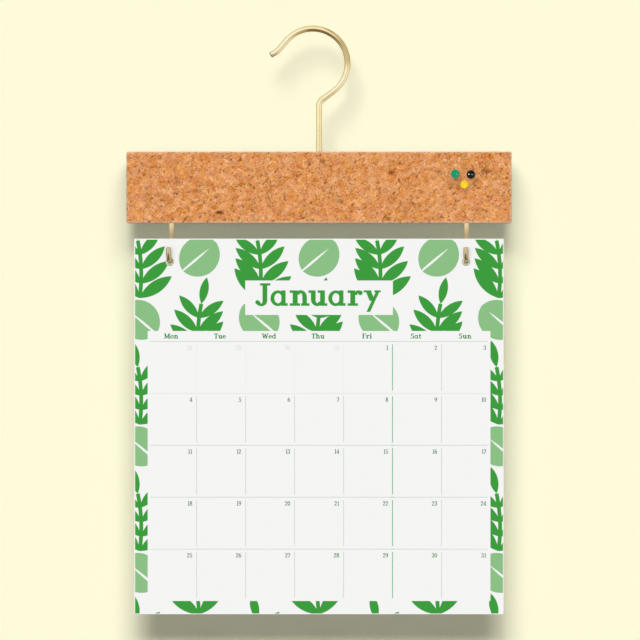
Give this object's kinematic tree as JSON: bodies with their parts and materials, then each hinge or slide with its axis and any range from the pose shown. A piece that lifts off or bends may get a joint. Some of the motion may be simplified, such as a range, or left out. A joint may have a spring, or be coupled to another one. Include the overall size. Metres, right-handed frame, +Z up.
{
  "type": "wall calendar",
  "caption": "Hanging wall calendar: printed month sheets on small brass hooks below a cork pin bar, which hangs from a swivel coat-hanger hook.",
  "frame": {"origin": "on the axis of the hook's stem, at the inside of the hook's bowl, where a nail bears", "axes": "+X right along the bar, +Y back towards the wall, +Z up along the hook's stem"},
  "size_m": [0.219, 0.0233, 0.3351],
  "materials": {
    "brass_wire": "bright pale brass",
    "cork": "sanded agglomerated cork",
    "card": "uncoated white card",
    "dark_green_ink": "matt ink on card",
    "pale_green_ink": "matt ink on card",
    "rule_ink": "matt ink on card",
    "green_plastic": "gloss",
    "black_plastic": "gloss",
    "yellow_plastic": "gloss",
    "needle_steel": "polished needle"
  },
  "bodies": {
    "hook": {"hanger_hook": "brass_wire"},
    "bar": {"cork_bar": "cork", "left_cup_hook": "brass_wire", "right_cup_hook": "brass_wire", "green_pin_head": "green_plastic", "black_pin_head": "black_plastic", "yellow_pin_head": "yellow_plastic", "green_pin_needle": "needle_steel", "black_pin_needle": "needle_steel", "yellow_pin_needle": "needle_steel"},
    "pages": {"calendar_pages": "card", "leaf_print": "dark_green_ink", "broad_leaf_print": "pale_green_ink", "grid_print": "rule_ink"}
  },
  "joints": [
    {"name": "hook_swivel", "type": "hinge", "parent": "hook", "child": "bar", "pos_m": [0, 0, -0.06816], "axis": [0, 0, 1], "continuous": true},
    {"name": "page_swing", "type": "hinge", "parent": "bar", "child": "pages", "pos_m": [0, -0.005, -0.12536], "axis": [-1, 0, 0], "range_deg": [-3.4, 13.5]}
  ]
}
